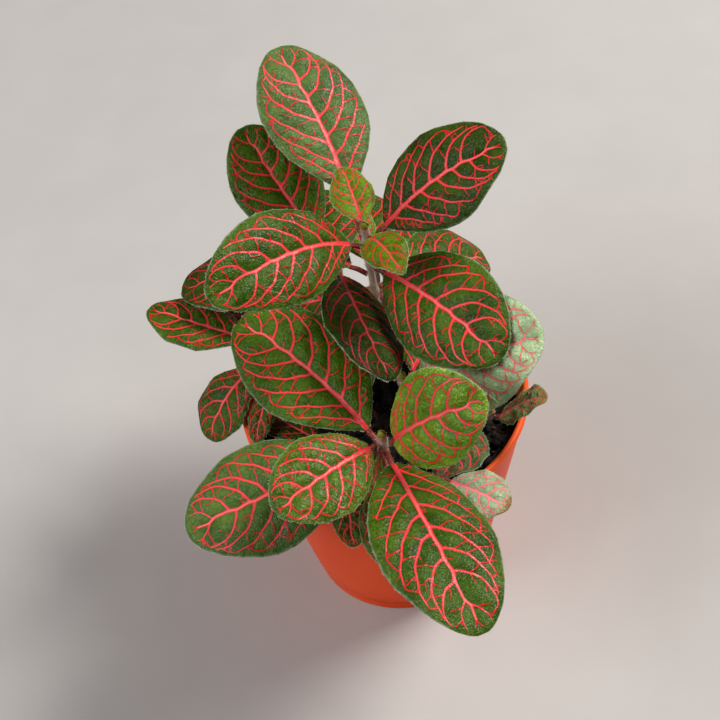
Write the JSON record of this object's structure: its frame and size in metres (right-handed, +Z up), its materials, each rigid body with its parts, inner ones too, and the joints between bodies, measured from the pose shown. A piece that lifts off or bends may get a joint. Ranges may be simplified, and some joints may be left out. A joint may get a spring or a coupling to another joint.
{
  "type": "potted nerve plant",
  "caption": "Bushy nerve plant with red-veined green leaves on short soft stems, in a thin tapered nursery pot filled with dark soil.",
  "frame": {"origin": "centre of the pot's flat underside", "axes": "+Z up, -Y towards the front, +X towards the plant's right as seen from the front"},
  "size_m": [0.1112, 0.1716, 0.1533],
  "materials": {
    "pot": "thin injection-moulded terracotta-orange plastic, satin",
    "soil": "damp dark peat with small crumbs",
    "stem": "soft pinkish-green stalk with short pale hairs",
    "mature_leaf": "dark green velvety leaf with coral-red veins",
    "fresh_leaf": "mid green velvety leaf with coral-red veins",
    "young_leaf": "lime green young leaf with thin red veins"
  },
  "bodies": {
    "root": {"leaf_back_left_wide": "mature_leaf", "leaf_back_low": "mature_leaf", "leaf_back_right_wide": "mature_leaf", "leaf_back_tip": "young_leaf", "leaf_back_upper": "mature_leaf", "leaf_behind_left": "mature_leaf", "leaf_behind_right": "mature_leaf", "leaf_centre_large": "mature_leaf", "leaf_centre_under": "mature_leaf", "leaf_front_large": "mature_leaf", "leaf_front_left_large": "mature_leaf", "leaf_front_left_young": "fresh_leaf", "leaf_front_narrow": "young_leaf", "leaf_front_right_young": "fresh_leaf", "leaf_front_under": "mature_leaf", "leaf_left_back": "mature_leaf", "leaf_left_under": "mature_leaf", "leaf_low_left_dark": "mature_leaf", "leaf_low_left_hang": "mature_leaf", "leaf_low_left_small": "mature_leaf", "leaf_mid_centre": "mature_leaf", "leaf_mid_left": "mature_leaf", "leaf_mid_right": "mature_leaf", "leaf_rear_right": "mature_leaf", "leaf_right_back_out": "mature_leaf", "leaf_right_back_rear": "mature_leaf", "leaf_right_large": "mature_leaf", "leaf_right_small": "mature_leaf", "leaf_right_under": "mature_leaf", "leaf_rim_curl": "mature_leaf", "leaf_rim_hang": "mature_leaf", "leaf_rim_pale": "mature_leaf", "leaf_tip_back": "young_leaf", "leaf_tip_front": "young_leaf", "leaf_top_back": "mature_leaf", "leaf_upper_back_left": "mature_leaf", "leaf_upper_left": "mature_leaf", "leaf_upper_right": "mature_leaf", "pot": "pot", "soil": "soil", "stem_back": "stem", "stem_back_left": "stem", "stem_back_right": "stem", "stem_far_right": "stem", "stem_front": "stem", "stem_left": "stem", "stem_low_front": "stem", "stem_low_left": "stem", "stem_main": "stem", "stem_right": "stem"}
  },
  "joints": []
}
